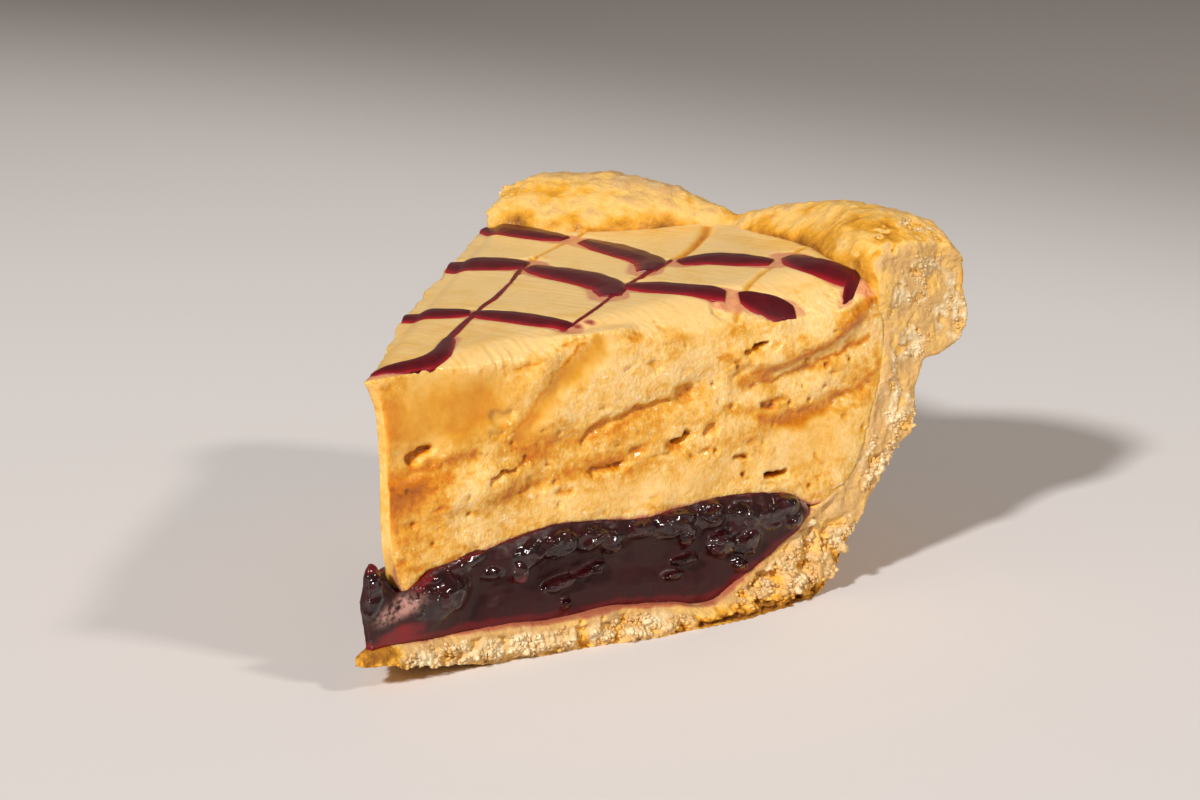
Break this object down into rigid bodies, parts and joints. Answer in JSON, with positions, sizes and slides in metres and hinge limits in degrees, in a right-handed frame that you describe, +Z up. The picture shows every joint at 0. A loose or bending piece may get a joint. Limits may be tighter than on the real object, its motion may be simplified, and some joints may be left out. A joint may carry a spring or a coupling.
{
  "type": "slice of peanut butter and jelly pie",
  "caption": "Wedge-shaped slice of pie with a fluted crumb crust, a layer of jelly under a tall whipped peanut butter filling, and jam stripes drizzled over the top.",
  "frame": {"origin": "under the middle of the bounding box, on the surface the slice rests on", "axes": "+X along the middle of the wedge from its tip to the rim, +Y across the wedge, +Z up"},
  "size_m": [0.1282, 0.0967, 0.0655],
  "materials": {
    "crust": "baked golden crumb crust, paler and crumbly where it was cut",
    "jelly": "dark purple-red jelly with soft berries, wet and glossy",
    "filling": "whipped peanut butter filling, satin and slightly moist, with dark red jam stripes on its top"
  },
  "bodies": {
    "root": {"crust": "crust", "jelly_layer": "jelly", "peanut_butter_filling": "filling"}
  },
  "joints": []
}
